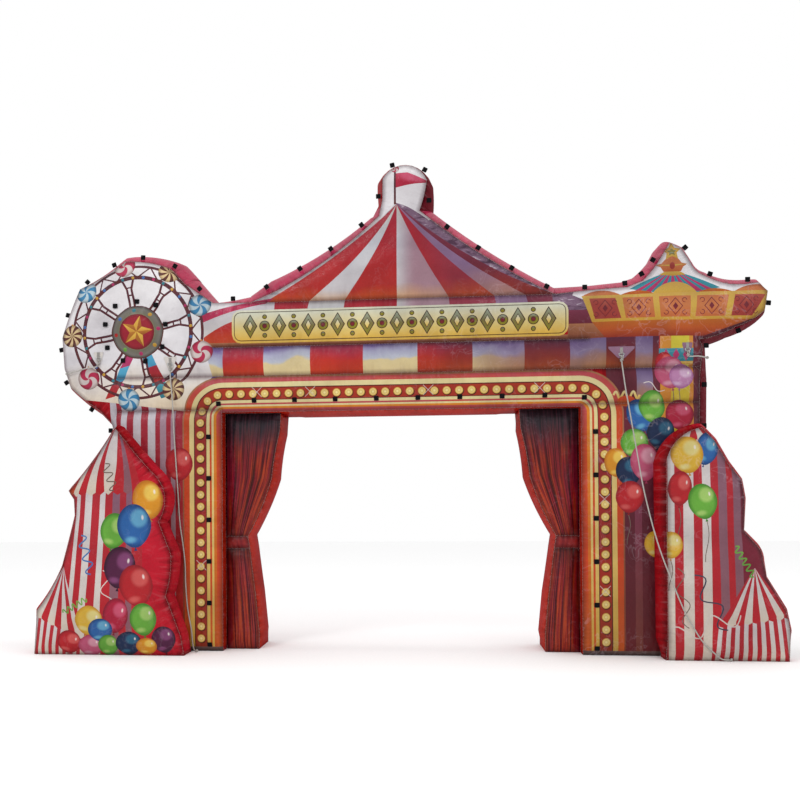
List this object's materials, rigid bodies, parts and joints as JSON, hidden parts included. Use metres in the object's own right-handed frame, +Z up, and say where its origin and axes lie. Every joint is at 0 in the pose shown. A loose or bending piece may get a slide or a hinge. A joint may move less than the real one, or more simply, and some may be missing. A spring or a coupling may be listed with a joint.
{
  "type": "inflatable arch",
  "caption": "Air-filled carnival arch with a roofed beam, round wheel disc, canopy end, side wings, tied curtains and guy ropes.",
  "frame": {"origin": "on the ground, under the middle of the arch's box without its ropes", "axes": "+Z up, +X along the width to the viewer's right, the front faces -Y"},
  "size_m": [7.7068, 1.3896, 5.1852],
  "materials": {
    "arch_cloth": "glossy coated cloth with a printed front",
    "wing_cloth": "glossy coated cloth with a printed front",
    "curtain_cloth": "glossy coated cloth with printed folds",
    "patch_cloth": "coated cloth",
    "webbing": "woven",
    "hook_and_loop": "matt pile",
    "ring_steel": "bright",
    "rope": "braided"
  },
  "bodies": {
    "root": {"arch_body": "arch_cloth", "curtain_left": "curtain_cloth", "curtain_right": "curtain_cloth", "pad_corner_left": "hook_and_loop", "pad_corner_right": "hook_and_loop", "pad_left_1": "hook_and_loop", "pad_left_2": "hook_and_loop", "pad_left_3": "hook_and_loop", "pad_left_4": "hook_and_loop", "pad_left_5": "hook_and_loop", "pad_left_6": "hook_and_loop", "pad_right_1": "hook_and_loop", "pad_right_2": "hook_and_loop", "pad_right_3": "hook_and_loop", "pad_right_4": "hook_and_loop", "pad_right_5": "hook_and_loop", "pad_right_6": "hook_and_loop", "pad_roof_1": "hook_and_loop", "pad_roof_10": "hook_and_loop", "pad_roof_11": "hook_and_loop", "pad_roof_2": "hook_and_loop", "pad_roof_3": "hook_and_loop", "pad_roof_4": "hook_and_loop", "pad_roof_5": "hook_and_loop", "pad_roof_6": "hook_and_loop", "pad_roof_7": "hook_and_loop", "pad_roof_8": "hook_and_loop", "pad_roof_9": "hook_and_loop", "pad_top_1": "hook_and_loop", "pad_top_2": "hook_and_loop", "pad_top_3": "hook_and_loop", "pad_top_4": "hook_and_loop", "pad_top_5": "hook_and_loop", "pad_top_6": "hook_and_loop", "pad_top_7": "hook_and_loop", "pad_top_8": "hook_and_loop", "ring_left": "ring_steel", "ring_patch_left": "patch_cloth", "ring_patch_right": "patch_cloth", "ring_patch_side_left": "patch_cloth", "ring_patch_side_right": "patch_cloth", "ring_right": "ring_steel", "ring_side_left": "ring_steel", "ring_side_right": "ring_steel", "ring_strap_left": "webbing", "ring_strap_right": "webbing", "ring_strap_side_left": "webbing", "ring_strap_side_right": "webbing", "rope_knot_left": "rope", "rope_knot_right": "rope", "rope_knot_side_left": "rope", "rope_knot_side_right": "rope", "rope_left": "rope", "rope_right": "rope", "rope_side_left": "rope", "rope_side_right": "rope", "wing_left": "wing_cloth", "wing_right": "wing_cloth"}
  },
  "joints": []
}
